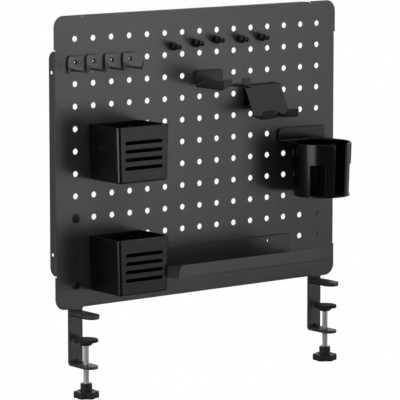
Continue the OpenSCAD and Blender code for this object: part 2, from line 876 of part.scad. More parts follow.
// Folded phone rest: back plate, fold, tilted rest, ledge and two lips with a cable gap between
module phone_holder() {
    mid_r = phone_bend_r + sheet_t / 2;
    plate_mid_y = -magnet_t - sheet_t / 2;
    fold_z = mid_r * tan(90 - phone_tilt / 2) - phone_bend_r - sheet_t;
    ledge_z = -phone_drop - sheet_t / 2;
    ledge_back_y = plate_mid_y - (fold_z - ledge_z) * tan(phone_tilt);
    ledge_front_y = ledge_back_y - phone_ledge;
    lip_low_z = ledge_z - phone_ledge_fall;
    lip_top_z = lip_low_z + phone_lip_h;
    path = [
        [plate_mid_y, -phone_plate_h],
        [plate_mid_y, fold_z],
        [ledge_back_y, ledge_z],
        [ledge_front_y, lip_low_z],
        [ledge_front_y - phone_lip_lean, lip_top_z]
    ];
    front_depth = phone_ledge + phone_lip_lean + sheet_t;
    color("#3c3d3f")
        at_place(phone_place_shares[0], phone_place_shares[1])
            intersection() {
                along_x(phone_w)
                    polygon(sheet_section(path, phone_bend_r, sheet_t));
                union() {
                    to_front(-ledge_back_y - mid_r)
                        polygon(box_outline(-phone_w / 2, phone_w / 2, -phone_drop - phone_lip_h, overrun, 0));
                    translate([0, ledge_back_y + mid_r, 0])
                        to_front(front_depth + mid_r)
                            for (side = [-1, 1])
                                translate([side * (phone_w + cable_gap_w) / 4, 0])
                                    polygon(box_outline((cable_gap_w - phone_w) / 4,
                                        (phone_w - cable_gap_w) / 4, -phone_drop - phone_lip_h,
                                        lip_top_z, phone_lip_r));
                }
            }
}

module phone_holder_magnet() {
    color("#2b2b2c")
        at_place(phone_place_shares[0], phone_place_shares[1])
            translate([0, 0, -phone_bend_r - sheet_t])
                plate_magnet(phone_w, phone_plate_h - phone_bend_r - sheet_t, magnet_t);
}

// Puts the tray beside the lower bin, with z = 0 at its plate's top edge
module at_tray() {
    translate([tray_mid_x, front_y, row_z(tray_row_share) + top_over_row])
        children();
}

// Long folded tray: back plate, floor and front lip, open at both ends
module tray() {
    tray_mid_y = -magnet_t - tray_t / 2;
    floor_mid_z = tray_t / 2 - tray_drop;
    lip_mid_y = tray_t / 2 - tray_reach;
    lip_top_z = tray_lip_h - tray_drop;
    path = [
        [tray_mid_y, 0],
        [tray_mid_y, floor_mid_z],
        [lip_mid_y, floor_mid_z],
        [lip_mid_y, lip_top_z]
    ];
    color("#4a4b4d")
        at_tray()
            difference() {
                intersection() {
                    along_x(tray_l)
                        polygon(sheet_section(path, tray_bend_r, tray_t));
                    union() {
                        to_front(magnet_t + tray_t)
                            polygon(box_outline(-tray_l / 2, tray_l / 2, -tray_drop, 0, plate_corner_r));
                        translate([0, -magnet_t - tray_t, 0])
                            to_front(tray_reach)
                                polygon(box_outline(-tray_l / 2, tray_l / 2, -tray_drop, lip_top_z,
                                    tray_lip_r));
                    }
                }
                tray_holes();
            }
}

// The tray's two holes, in front of the peg holes nearest to an even share of its length
module tray_holes() {
    mid_col = round(tray_mid_x / pitch + (hole_cols + 1) / 2);
    for (side = [-1, 1])
        translate([col_x(mid_col + side * tray_hole_pitches / 2) - tray_mid_x, overrun, -tray_hole_drop])
            bar_along_y(tray_hole_d, magnet_t + tray_t + 2 * overrun);
}

module tray_magnet() {
    color("#2b2b2c")
        at_tray()
            difference() {
                plate_magnet(tray_l, tray_drop, magnet_t);
                tray_holes();
            }
}

// Square plate with one arm that stands out of it and turns up at its tip
module hook(number) {
    plate_mid_y = -hook_magnet_t - hook_t / 2;
    arm_mid_z = hook_arm_rise + hook_t / 2 - hook_plate_w;
    tip_mid_y = hook_t / 2 - hook_reach;
    tip_z = hook_arm_rise + hook_tip_h - hook_plate_w;
    path = [
        [plate_mid_y, arm_mid_z],
        [tip_mid_y, arm_mid_z],
        [tip_mid_y - hook_tip_lean, tip_z]
    ];
    color("#3e3f41")
        at_place(hook_place_shares[0] + number - 1, hook_place_shares[1])
            difference() {
                union() {
                    translate([0, -hook_magnet_t, 0])
                        to_front(hook_t)
                            polygon(box_outline(-hook_plate_w / 2, hook_plate_w / 2,
                                -hook_plate_w, 0, hook_plate_r, hook_plate_r));
                    intersection() {
                        along_x(hook_arm_w)
                            polygon(sheet_section(path, hook_bend_r, hook_t));
                        to_front(hook_reach + hook_tip_lean + hook_t)
                            polygon(box_outline(-hook_arm_w / 2, hook_arm_w / 2, -hook_plate_w,
                                tip_z, hook_arm_w / 2 - fit_gap));
                    }
                }
                translate([0, 0, -hook_hole_drop])
                    bar_along_y(hook_hole_d, hook_magnet_t + hook_t + overrun);
                for (side = [-1, 1])
                    translate([side * hook_side_hole_span / 2, 0, arm_mid_z])
                        bar_along_y(hook_side_hole_d, hook_magnet_t + hook_t + overrun);
            }
}

module hook_magnet(number) {
    color("#2b2b2c")
        at_place(hook_place_shares[0] + number - 1, hook_place_shares[1])
            difference() {
                plate_magnet(hook_plate_w, hook_plate_w, hook_magnet_t, hook_plate_r);
                translate([0, overrun, -hook_hole_drop])
                    bar_along_y(hook_hole_d, hook_magnet_t + 2 * overrun);
            }
}

// Puts a push pin on the panel, its axis along Z for now
module at_pin(number) {
    place = pin_place_shares[number - 1];
    translate([col_x(place[0]), front_y, row_z(place[1])])
        rotate([90, 0, 0])
            children();
}

// Pawn-shaped pin: straight base, hollow neck and a ball
module push_pin(number) {
    neck_drop = (pin_base_d - pin_neck_d) / 2;
    neck = [
        for (i = [0 : neck_steps])
            let (along = i / neck_steps)
            [pin_base_d / 2 - neck_drop * sin(90 * along),
                pin_base_h + (pin_neck_at - pin_base_h) * along]
    ];
    meet = asin(pin_neck_d / pin_ball_d);
    ball = [
        for (i = [0 : neck_steps])
            let (a = 180 - meet + (meet - 180) * i / neck_steps)
            [pin_ball_d / 2 * sin(a), pin_ball_at + pin_ball_d / 2 * cos(a)]
    ];
    color("#141414")
        at_pin(number)
            difference() {
                rotate_extrude($fn = round_fn / 2)
                    polygon(concat([[0, 0], [pin_base_d / 2, 0]], neck,
                        [for (p = ball) [max(p[0], 0), p[1]]]));
                translate([0, 0, -overrun])
                    cylinder(d = pin_magnet_d + 2 * fit_gap, h = pin_magnet_t + overrun, $fn = hole_fn);
            }
}

module push_pin_magnet(number) {
    color("#8d9094")
        at_pin(number)
            cylinder(d = pin_magnet_d, h = pin_magnet_t, $fn = hole_fn);
}

pegboard_panel();
clamp_bracket(-clamp_x);  // left_clamp_bracket
clamp_bracket(clamp_x);  // right_clamp_bracket
upper_jaw(-clamp_x);  // left_upper_jaw
upper_jaw(clamp_x);  // right_upper_jaw
jaw_pad(-clamp_x);  // left_jaw_pad
jaw_pad(clamp_x);  // right_jaw_pad
bracket_screws(-clamp_x);  // left_bracket_screws
bracket_screws(clamp_x);  // right_bracket_screws
clamp_rod(-clamp_x);  // left_clamp_rod
clamp_rod(clamp_x);  // right_clamp_rod
clamp_knob(-clamp_x);  // left_clamp_knob
clamp_knob(clamp_x);  // right_clamp_knob
clamp_foot(-clamp_x);  // left_clamp_foot
clamp_foot(clamp_x);  // right_clamp_foot
foot_pad(-clamp_x);  // left_foot_pad
foot_pad(clamp_x);  // right_foot_pad
bin(bin_row_shares[0]);  // upper_bin
bin(bin_row_shares[1]);  // lower_bin
bin_magnets(bin_row_shares[0]);  // upper_bin_magnets
bin_magnets(bin_row_shares[1]);  // lower_bin_magnets
cup_holder();
cup_holder_magnet();
headphone_hanger();
headphone_hanger_magnet();
phone_holder();
phone_holder_magnet();
tray();
tray_magnet();
hook(1);  // hook_1
hook(2);  // hook_2
hook(3);  // hook_3
hook(4);  // hook_4
hook_magnet(1);  // hook_magnet_1
hook_magnet(2);  // hook_magnet_2
hook_magnet(3);  // hook_magnet_3
hook_magnet(4);  // hook_magnet_4
push_pin(1);  // push_pin_1
push_pin(2);  // push_pin_2
push_pin(3);  // push_pin_3
push_pin(4);  // push_pin_4
push_pin(5);  // push_pin_5
push_pin_magnet(1);  // push_pin_magnet_1
push_pin_magnet(2);  // push_pin_magnet_2
push_pin_magnet(3);  // push_pin_magnet_3
push_pin_magnet(4);  // push_pin_magnet_4
push_pin_magnet(5);  // push_pin_magnet_5
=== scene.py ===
# %% [markdown]
# A pegboard desk organizer, dressed for the camera.
#
# The real thing is a folded steel panel that two screw clamps hold on the edge of a desk. Magnets hold
# bins, a cup sleeve, a headphone hanger, a phone rest, a tray, hooks and push pins on it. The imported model
# gives every piece at its real size and place. This lesson gives each one its rounded edges, its thread,
# its moulded corners and its finish, and sets a camera and soft light round it.
#
# Everything is in metres. +X is right, +Y is away from the person at the desk and +Z is up, and the origin
# lies on the desk top between the clamps.

# %% Load the model
import json
import math

import bmesh
import bpy
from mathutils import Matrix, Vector


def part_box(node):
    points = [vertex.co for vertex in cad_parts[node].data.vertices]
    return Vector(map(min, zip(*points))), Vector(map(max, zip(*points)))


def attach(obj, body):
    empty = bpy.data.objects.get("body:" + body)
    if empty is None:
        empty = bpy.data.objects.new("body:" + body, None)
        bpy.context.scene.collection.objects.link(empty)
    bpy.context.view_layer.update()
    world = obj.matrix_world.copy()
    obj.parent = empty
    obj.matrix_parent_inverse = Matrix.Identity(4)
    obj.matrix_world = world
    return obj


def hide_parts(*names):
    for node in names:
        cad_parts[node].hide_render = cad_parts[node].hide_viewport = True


MM = 0.001
WELD = 0.002 * MM

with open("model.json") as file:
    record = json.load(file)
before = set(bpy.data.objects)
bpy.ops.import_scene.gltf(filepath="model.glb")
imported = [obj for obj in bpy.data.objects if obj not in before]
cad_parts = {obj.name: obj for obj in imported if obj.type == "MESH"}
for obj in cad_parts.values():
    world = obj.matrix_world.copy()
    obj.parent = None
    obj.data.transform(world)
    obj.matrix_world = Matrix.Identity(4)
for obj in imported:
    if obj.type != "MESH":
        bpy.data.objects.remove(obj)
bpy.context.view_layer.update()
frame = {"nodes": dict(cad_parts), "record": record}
record = frame["record"]
body_of = {node: body for body, nodes in record["behaviour"]["bodies"].items() for node in nodes}
slot_of = {part["node"]: part["material_slot"] for part in record["subparts"]}

# %% [markdown]
# The camera stands to the left of the organizer, a little above it and far away.
#
# A long lens from five metres keeps the columns of holes almost parallel, as product pictures do. The place
# and the two angles were worked out from where the peg holes lie in the picture. A camera could also be
# aimed with a constraint, but plain angles stay readable.

# %% The camera
CAMERA_PLACE = (-3.1150, -3.9521, 0.8886)
CAMERA_YAW = 38.26
CAMERA_FALL = 8.08
CAMERA_LENS = 261.7

bpy.ops.object.camera_add(
    location=CAMERA_PLACE,
    rotation=(math.radians(90 - CAMERA_FALL), 0, math.radians(-CAMERA_YAW)),
)
camera = bpy.context.object
camera.name = "camera"
camera.data.lens = CAMERA_LENS
camera.data.clip_end = 60
bpy.context.scene.camera = camera

# %% [markdown]
# Shader maths is easier to read as Python sums than as wires.
#
# A material is a network of nodes, and each small sum in it is a node of its own. The class below wraps one
# output socket, so that a line such as 0.5 + 0.1 * grain adds the Math nodes by itself. A Finish keeps the
# network of one material, and its node method adds any other kind of node.


# %% Shader maths
class Signal:
    """A number that changes over a surface: one output socket of a finish's network"""

    def __init__(self, finish, socket):
        self.finish = finish
        self.socket = socket

    def maths(self, operation, first, second):
        return self.finish.node("ShaderNodeMath", {"operation": operation}, first, second)

    def __add__(self, other):
        return self.maths("ADD", self, other)

    def __radd__(self, other):
        return self.maths("ADD", other, self)

    def __mul__(self, other):
        return self.maths("MULTIPLY", self, other)

    def __rmul__(self, other):
        return self.maths("MULTIPLY", other, self)


class Finish:
    """One material: its node network, and the shader that the network feeds"""

    def __init__(self, name):
        self.material = bpy.data.materials.new(name)
        self.material.use_nodes = True
        self.tree = self.material.node_tree
        self.shader = self.tree.nodes["Principled BSDF"]
        self.place = self.node("ShaderNodeTexCoord", {}, output="Object")

    def node(self, kind, settings, *inputs, output=0, **named):
        """Adds a node: its settings first, then the values or signals of its sockets"""
        node = self.tree.nodes.new(kind)
        for name, value in settings.items():
            setattr(node, name, value)
        for index, value in enumerate(inputs):
            self.feed(node.inputs[index], value)
        for name, value in named.items():
            self.feed(node.inputs[name.replace("_", " ")], value)
        return Signal(self, node.outputs[output])

    def feed(self, socket, value):
        if isinstance(value, Signal):
            self.tree.links.new(value.socket, socket)
        else:
            socket.default_value = value

    def noise(self, size, detail=2.0, along=(1, 1, 1)):
        """Noise with spots about as wide as size, drawn out along the axes by the numbers in along"""
        finer = tuple(1 / share for share in along)
        place = self.node("ShaderNodeMapping", {}, self.place, Scale=finer)
        return self.node("ShaderNodeTexNoise", {}, Vector=place, Scale=1 / size, Detail=detail)

    def mix(self, share, low, high):
        """A colour between two others, by a share from 0 to 1"""
        node = self.tree.nodes.new("ShaderNodeMix")
        node.data_type = "RGBA"
        self.feed(node.inputs[0], share)
        self.feed(node.inputs[6], (*low, 1))
        self.feed(node.inputs[7], (*high, 1))
        return Signal(self, node.outputs[2])

    def bump(self, height, depth, under=None):
        """A bump as deep as depth, laid over another one"""
        named = {"Height": height, "Distance": depth}
        if under is not None:
            named["Normal"] = under
        return self.node("ShaderNodeBump", {}, **named)

    def set(self, **named):
        """Values and signals for the shader's own sockets"""
        for name, value in named.items():
            self.feed(self.shader.inputs[name.replace("_", " ")], value)
        return self.material


# %% [markdown]
# Powder coat is the dark, slightly grainy skin on all the sheet steel.
#
# It could be one flat grey, but a real coat is baked powder: it has a slow drift in tone, a soft orange
# peel two or three millimetres wide and a fine dry grain. Three noises of those sizes drive the colour, the
# roughness and two layers of bump, so the coat holds up from a metre away and from a hand's breadth. Shine
# is how much a surface reflects when it's seen head-on, and 0.5 suits most paint and plastic.


# %% Powder coat
def scaled(colour, share):
    return tuple(channel * share for channel in colour)


def grey(level):
    return (level, level, level)


DRIFT_WIDTH = 70 * MM
PEEL_WIDTH, PEEL_DEPTH = 2.6 * MM, 0.012 * MM
COAT_GRAIN_WIDTH, COAT_GRAIN_DEPTH = 0.45 * MM, 0.004 * MM


def powder_coat(name, colour, roughness, shine=0.5):
    finish = Finish(name)
    drift = finish.noise(DRIFT_WIDTH)
    peel = finish.noise(PEEL_WIDTH, detail=1.0)
    grain = finish.noise(COAT_GRAIN_WIDTH, detail=1.0)
    tone = drift * 0.5 + grain * 0.5
    coat = finish.mix(tone, scaled(colour, 0.82), scaled(colour, 1.18))
    soft = finish.bump(peel, PEEL_DEPTH)
    return finish.set(
        Base_Color=coat,
        Roughness=roughness - 0.06 + grain * 0.12,
        Specular_IOR_Level=shine,
        Normal=finish.bump(grain, COAT_GRAIN_DEPTH, under=soft),
    )


board_coat = powder_coat("board powder coat", (0.110, 0.110, 0.111), 0.56)
holder_coat = powder_coat("holder powder coat", grey(0.028), 0.42)
tray_coat = powder_coat("tray powder coat", (0.105, 0.105, 0.106), 0.50, shine=0.28)
hook_coat = powder_coat("hook powder coat", (0.112, 0.112, 0.113), 0.46)
clamp_coat = powder_coat("clamp powder coat", (0.104, 0.104, 0.105), 0.50)
rest_coat = powder_coat("phone rest powder coat", grey(0.009), 0.40)

# %% [markdown]
# The bins and the cup sleeve are moulded plastic, and their mould leaves a fine satin.
#
# Gloss comes from a low roughness, and what keeps it from looking like glass is small: a grain of a third
# of a millimetre from the eroded mould, and slow waves where the plastic shrank over its ribs. The waves
# bend the reflections a little, which is what makes the eye read a thin moulded wall. The knobs and feet
# of the clamps are the same plastic from a rougher mould, and shine less.


# %% Moulded plastic
SHRINK_WAVE_WIDTH = 28 * MM
MOULD_GRAIN_WIDTH, MOULD_GRAIN_DEPTH = 0.35 * MM, 0.0015 * MM
DEEP_WAVE, SHALLOW_WAVE, FAINT_WAVE = 0.05 * MM, 0.03 * MM, 0.01 * MM


def moulded_plastic(name, colour, roughness, wave_depth, shine=0.5):
    finish = Finish(name)
    waves = finish.noise(SHRINK_WAVE_WIDTH, detail=1.0)
    grain = finish.noise(MOULD_GRAIN_WIDTH, detail=2.0)
    soft = finish.bump(waves, wave_depth)
    return finish.set(
        Base_Color=finish.mix(grain, scaled(colour, 0.85), scaled(colour, 1.15)),
        Roughness=roughness - 0.03 + grain * 0.06,
        Specular_IOR_Level=shine,
        Normal=finish.bump(grain, MOULD_GRAIN_DEPTH, under=soft),
    )


bin_plastic = moulded_plastic("satin bin plastic", (0.0065, 0.0067, 0.0072), 0.24, DEEP_WAVE)
cup_plastic = moulded_plastic("satin cup plastic", (0.0060, 0.0062, 0.0067), 0.22, SHALLOW_WAVE)
pin_plastic = moulded_plastic("polished pin plastic", grey(0.0045), 0.12, FAINT_WAVE)
knob_plastic = moulded_plastic("matt knob plastic", (0.0620, 0.0625, 0.0640), 0.52, SHALLOW_WAVE, shine=0.25)

# %% [markdown]
# Four small finishes are left: zinc, rubber, nickel and black oxide.
#
# The rods' zinc plate is bright and slightly blue, with faint brush lines round the rod, so its noise is
# squeezed along the rod. The linings' rubber is the opposite: nearly black, dry and full of a coarse
# speckle. The disc magnets are plated with nickel, and the bracket screws have a thin film of black oxide.


# %% Zinc, rubber, nickel and black oxide
ZINC_CLOUD_WIDTH = 9 * MM
BRUSH_LINE_WIDTH = 0.8 * MM
SPECKLE_WIDTH, SPECKLE_DEPTH = 0.6 * MM, 0.02 * MM
SCUFF_WIDTH = 0.5 * MM
BLOOM_WIDTH = 3 * MM


def zinc_plate(name):
    finish = Finish(name)
    cloud = finish.noise(ZINC_CLOUD_WIDTH)
    lines = finish.noise(BRUSH_LINE_WIDTH, detail=3.0, along=(1, 1, 0.12))
    return finish.set(
        Base_Color=finish.mix(cloud, (0.93, 0.95, 0.96), (0.97, 0.98, 0.99)),
        Metallic=0.55,
        Roughness=0.22 + lines * 0.14,
    )


def rubber(name):
    finish = Finish(name)
    speckle = finish.noise(SPECKLE_WIDTH, detail=3.0)
    return finish.set(
        Base_Color=finish.mix(speckle, grey(0.010), grey(0.022)),
        Roughness=0.72 + speckle * 0.2,
        Normal=finish.bump(speckle, SPECKLE_DEPTH),
    )


def nickel_plate(name):
    finish = Finish(name)
    scuffs = finish.noise(SCUFF_WIDTH, detail=4.0, along=(4, 1, 1))
    return finish.set(
        Base_Color=finish.mix(scuffs, (0.50, 0.49, 0.46), (0.66, 0.65, 0.61)),
        Metallic=1.0,
        Roughness=0.14 + scuffs * 0.2,
    )


def black_oxide(name):
    finish = Finish(name)
    bloom = finish.noise(BLOOM_WIDTH, detail=3.0)
    return finish.set(
        Base_Color=finish.mix(bloom, (0.030, 0.030, 0.031), (0.060, 0.060, 0.062)),
        Metallic=0.6,
        Roughness=0.28 + bloom * 0.16,
    )


FINISHES = {
    "panel_paint": board_coat,
    "holder_paint": holder_coat,
    "clamp_paint": clamp_coat,
    "screw_black": black_oxide("black oxide"),
    "rod_zinc": zinc_plate("zinc plate"),
    "knob_plastic": knob_plastic,
    "foot_plastic": knob_plastic,
    "clamp_rubber": rubber("soft rubber"),
    "magnet_rubber": rubber("magnet sheet"),
    "magnet_nickel": nickel_plate("nickel plate"),
    "bin_plastic": bin_plastic,
    "cup_plastic": cup_plastic,
    "pin_plastic": pin_plastic,
}
OWN_FINISHES = {
    "tray": tray_coat,
    "phone_holder": rest_coat,
    **{f"hook_{number}": hook_coat for number in range(1, 5)},
}


def finish_of(node):
    return OWN_FINISHES.get(node, FINISHES[slot_of[node]])


for node, piece in frame["nodes"].items():
    piece.data.materials.clear()
    piece.data.materials.append(finish_of(node))

# %% [markdown]
# Blender's operators work on what is selected, so every step starts by saying what that is.
#
# After loading, all the model's nodes are selected, and an operator would change them too. The helpers here
# clear the selection, pick one piece, and choose its faces or edges by a rule on their place or direction.


# %% Picking pieces, faces and edges
def pick(*pieces):
    """Selects these pieces alone, and makes the first one active"""
    bpy.ops.object.select_all(action="DESELECT")
    for piece in pieces:
        piece.select_set(True)
    bpy.context.view_layer.objects.active = pieces[0]


def open_mesh(piece):
    """Goes into edit mode on one piece, with all of it selected"""
    pick(piece)
    bpy.ops.object.mode_set(mode="EDIT")
    bpy.ops.mesh.select_mode(type="VERT")
    bpy.ops.mesh.select_all(action="SELECT")


def close_mesh():
    bpy.ops.object.mode_set(mode="OBJECT")


def choose(kind, rule):
    """In edit mode, selects the vertices, edges or faces for which the rule holds, and counts them"""
    mesh = bpy.context.object.data
    bpy.ops.mesh.select_mode(type=kind)
    bpy.ops.mesh.select_all(action="DESELECT")
    shape = bmesh.from_edit_mesh(mesh)
    shape.normal_update()
    parts = {"VERT": shape.verts, "EDGE": shape.edges, "FACE": shape.faces}[kind]
    chosen = [part for part in parts if rule(part)]
    for part in chosen:
        part.select_set(True)
    bmesh.update_edit_mesh(mesh)
    return len(chosen)


def apply_modifier(piece, kind, **settings):
    """Adds one modifier with its settings, and applies it"""
    pick(piece)
    modifier = piece.modifiers.new(kind.lower(), kind)
    for name, value in settings.items():
        setattr(modifier, name, value)
    bpy.ops.object.modifier_apply(modifier=modifier.name)


# %% [markdown]
# A finished piece needs its finish, its place in its mesh and its body, and the nodes of the model that it
# replaces are hidden.
#
# The object itself is brought back to the origin, unturned, because the finishes read the mesh from there.
# A piece that replaces a node of the model takes its body and its finish from that node.


# %% Handing a piece over
def hand_over(piece, *nodes):
    """Gives a piece the finish and the body of the nodes that it stands for"""
    pick(piece)
    bpy.ops.object.transform_apply(location=True, rotation=True, scale=True)
    piece.data.materials.clear()
    piece.data.materials.append(finish_of(nodes[0]))
    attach(piece, body_of[nodes[0]])
    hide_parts(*nodes)
    return piece


# %% [markdown]
# No sheet of steel has a razor edge, and a thin bright line along each edge is what tells steel from card.
#
# Each rigid node of the model has the right form, but with edges as sharp as mathematics. Its mesh is
# copied, its loose triangles are welded, the flat ones are joined into whole faces, and a bevel of a few
# tenths of a millimetre rounds what is left. Weighted normals then keep the flat faces flat. Where two
# curves meet at a very narrow angle, the bevel can push a corner out of the piece's box, and that corner is
# flattened back. The knobs' lobes are facets that meet at up to 50 degrees, so there only sharper edges
# are eased.


# %% Easing the edges of a node
FLAT_ANGLE = 0.4
SHARP_ANGLE = 25


def round_edges(piece, edge_width, segments=2, sharp=SHARP_ANGLE):
    """Welds a mesh, joins its flat faces, and rounds the edges that are sharper than the angle"""
    open_mesh(piece)
    bpy.ops.mesh.remove_doubles(threshold=WELD)
    bpy.ops.mesh.dissolve_limited(angle_limit=math.radians(FLAT_ANGLE))
    close_mesh()
    bpy.ops.object.shade_smooth_by_angle(angle=math.radians(sharp))
    apply_modifier(
        piece,
        "BEVEL",
        width=edge_width,
        segments=segments,
        limit_method="ANGLE",
        angle_limit=math.radians(sharp),
        use_clamp_overlap=False,
        miter_outer="MITER_ARC",
    )
    apply_modifier(piece, "WEIGHTED_NORMAL", keep_sharp=True)


def copied(node):
    """A copy of a node's mesh, as a piece of its own"""
    piece = bpy.data.objects.new(node + "_eased", frame["nodes"][node].data.copy())
    bpy.context.scene.collection.objects.link(piece)
    return piece


def extent(piece):
    """Lowest and highest corner of a piece, in millimetres"""
    places = [vertex.co / MM for vertex in piece.data.vertices]
    return [tuple(round(limit(p[axis] for p in places), 2) for axis in range(3)) for limit in (min, max)]


def keep_inside(piece, node):
    """Flattens whatever a bevel pushed out of the node's box onto the side of that box"""
    open_mesh(piece)
    for side, box_corner in ((-1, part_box(node)[0]), (1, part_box(node)[1])):
        for axis in range(3):
            outside = choose("VERT", lambda v: side * (v.co[axis] - box_corner[axis]) > 0)
            if outside:
                flat = tuple(0 if other == axis else 1 for other in range(3))
                bpy.ops.transform.resize(value=flat, center_override=box_corner)
    close_mesh()


def eased(node, **rounding):
    piece = copied(node)
    round_edges(piece, **rounding)
    keep_inside(piece, node)
    return hand_over(piece, node)


# %% [markdown]
# How far an edge is rounded depends on how the piece was made.
#
# Sheet steel and screws keep a tight edge, flat bar and linings have a broader one, and the cup sleeve's is
# the widest, because it has to catch the light. One dictionary holds the settings of all these nodes, and a
# loop eases them one by one.

# %% Which nodes are eased
SIDES = ("left", "right")
SHEET_EDGE = 0.25 * MM
BAR_EDGE = 0.6 * MM
MOULDED_EDGE = 0.35 * MM
CUP_EDGE = 0.65 * MM
KNOB_ANGLE = 50

EASED = {
    "pegboard_panel": {"edge_width": SHEET_EDGE},
    "tray": {"edge_width": SHEET_EDGE},
    "headphone_hanger": {"edge_width": SHEET_EDGE},
    "cup_holder": {"edge_width": CUP_EDGE, "segments": 3},
    **{f"{side}_upper_jaw": {"edge_width": BAR_EDGE} for side in SIDES},
    **{f"{side}_jaw_pad": {"edge_width": BAR_EDGE} for side in SIDES},
    **{f"{side}_foot_pad": {"edge_width": BAR_EDGE} for side in SIDES},
    **{f"{side}_bracket_screws": {"edge_width": SHEET_EDGE} for side in SIDES},
    **{f"{side}_clamp_foot": {"edge_width": MOULDED_EDGE} for side in SIDES},
    **{f"{side}_clamp_knob": {"edge_width": MOULDED_EDGE, "sharp": KNOB_ANGLE} for side in SIDES},
}
for node, rounding in EASED.items():
    piece = eased(node, **rounding)
    print(piece.name, len(piece.data.polygons), extent(piece))

# %% [markdown]
# Boxes, bars and turned pieces are started in the same few ways, so those get helpers too.
#
# A box begins as a cube between two corners. A turned piece begins as one point, which is drawn out into
# half of its outline and then spun round its axis, as on a lathe. Holes are cut by a Boolean modifier with
# a rod or a rounded bar as the cutter, which is quicker to read than faces bridged one by one.


# %% Starting, drawing and cutting
def start_box(name, low, high):
    """A box between two corners, its place already in its mesh"""
    bpy.ops.object.select_all(action="DESELECT")
    middle = [(a + b) / 2 for a, b in zip(low, high)]
    size = [b - a for a, b in zip(low, high)]
    bpy.ops.mesh.primitive_cube_add(size=1, location=middle, scale=size)
    box = bpy.context.object
    box.name = name
    bpy.ops.object.transform_apply(location=True, rotation=True, scale=True)
    return box


def start_rod(name, middle, radius, length, sides=48):
    """A round rod that runs from front to back"""
    bpy.ops.object.select_all(action="DESELECT")
    bpy.ops.mesh.primitive_cylinder_add(
        vertices=sides, radius=radius, depth=length, location=middle, rotation=(math.radians(90), 0, 0)
    )
    rod = bpy.context.object
    rod.name = name
    bpy.ops.object.transform_apply(location=True, rotation=True, scale=True)
    return rod


def draw_line(name, foot, outline):
    """A chain of edges through the outline's points, which are counted from its foot; stays in edit mode"""
    bpy.ops.object.select_all(action="DESELECT")
    bpy.ops.mesh.primitive_plane_add(size=MM, location=foot)
    line = bpy.context.object
    line.name = name
    bpy.ops.object.mode_set(mode="EDIT")
    bpy.ops.mesh.select_mode(type="VERT")
    bpy.ops.mesh.merge(type="CENTER")
    bpy.ops.transform.translate(value=outline[0])
    for here, there in zip(outline, outline[1:]):
        step = Vector(there) - Vector(here)
        bpy.ops.mesh.extrude_region_move(TRANSFORM_OT_translate={"value": step})
    return line


def tidy_shell():
    """In edit mode, closes the seams of a spun or swept shell and turns its faces outward"""
    bpy.ops.mesh.select_all(action="SELECT")
    bpy.ops.mesh.remove_doubles(threshold=WELD)
    bpy.ops.mesh.normals_make_consistent(inside=False)


def weld(piece):
    """Joins a mesh's loose triangles, which a Boolean needs"""
    open_mesh(piece)
    bpy.ops.mesh.remove_doubles(threshold=WELD)
    close_mesh()


def combine(piece, operation, tools):
    """Cuts the tools out of a piece, or adds them to it, and deletes them"""
    for tool in tools:
        apply_modifier(piece, "BOOLEAN", operation=operation, object=tool, solver="EXACT")
    pick(*tools)
    bpy.ops.object.delete()


# A direction of length 1 counts as lying along an axis when its part along it is over this
ALONG = 0.9


def upright(edge):
    return abs((edge.verts[1].co - edge.verts[0].co).normalized().z) > ALONG


def front_to_back(edge):
    return abs((edge.verts[1].co - edge.verts[0].co).normalized().y) > ALONG


def middle_of(edge):
    return (edge.verts[0].co + edge.verts[1].co) / 2


# %% [markdown]
# The phone rest has a gap for the cable between its lips, and the gap stops at the ledge.
#
# The model's gap runs on through the fold. Two narrow strips of sheet, one along the ledge and one along
# the tilted rest, close it again up to the front of the ledge. Both are boxes turned round the line where
# rest and ledge would meet, and a Boolean joins them to the sheet.

# %% Phone rest
PANEL_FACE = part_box("upper_bin")[1][1]
SHEET = 2 * MM
FOLD_REACH = 34.28 * MM
FOLD_RISE = 3.31 * MM
LEDGE_FALL = 6.48
REST_TILT = 27.5
CABLE_GAP = 28.5 * MM
LEDGE_LEFT = 16.5 * MM
REST_LEFT = 6 * MM
STRIP_LAP = 0.3 * MM
PAST_FOLD = 0.5 * MM
STRIP_THINNER = 0.02 * MM


def sheet_strip(fold, low, high, turn):
    """A strip of sheet between two corners that are counted from the fold, turned round it"""
    strip = start_box("strip", fold + Vector(low), fold + Vector(high))
    open_mesh(strip)
    bpy.ops.transform.rotate(value=math.radians(turn), orient_axis="X", center_override=fold)
    close_mesh()
    return strip


def phone_rest(node):
    low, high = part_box(node)
    fold = Vector(((low[0] + high[0]) / 2, PANEL_FACE - FOLD_REACH, low[2] + FOLD_RISE))
    half_w = CABLE_GAP / 2 + STRIP_LAP
    half_t = SHEET / 2 - STRIP_THINNER
    ledge = sheet_strip(fold, (-half_w, -LEDGE_LEFT, -half_t), (half_w, PAST_FOLD, half_t), -LEDGE_FALL)
    rest = sheet_strip(fold, (-half_w, -half_t, -PAST_FOLD), (half_w, half_t, REST_LEFT), REST_TILT)
    piece = copied(node)
    weld(piece)
    combine(piece, "UNION", [ledge, rest])
    round_edges(piece, SHEET_EDGE)
    return hand_over(piece, node)


piece = phone_rest("phone_holder")
print(piece.name, len(piece.data.polygons), extent(piece))

# %% [markdown]
# The clamp brackets are bent flat bar, with a small blind hole at the foot where a jig held them.
#
# The model's bracket has that hole drilled right through. A short plug closes its back, so no light shows
# through it, and the bar's edges are eased like those of the other pieces.

# %% Clamp brackets
BAR_THICKNESS = 5 * MM
JIG_HOLE_R = 2.5 * MM
JIG_HOLE_RISE = 3.2 * MM
JIG_HOLE_DEPTH = 3 * MM
PLUG_LAP = 0.3 * MM


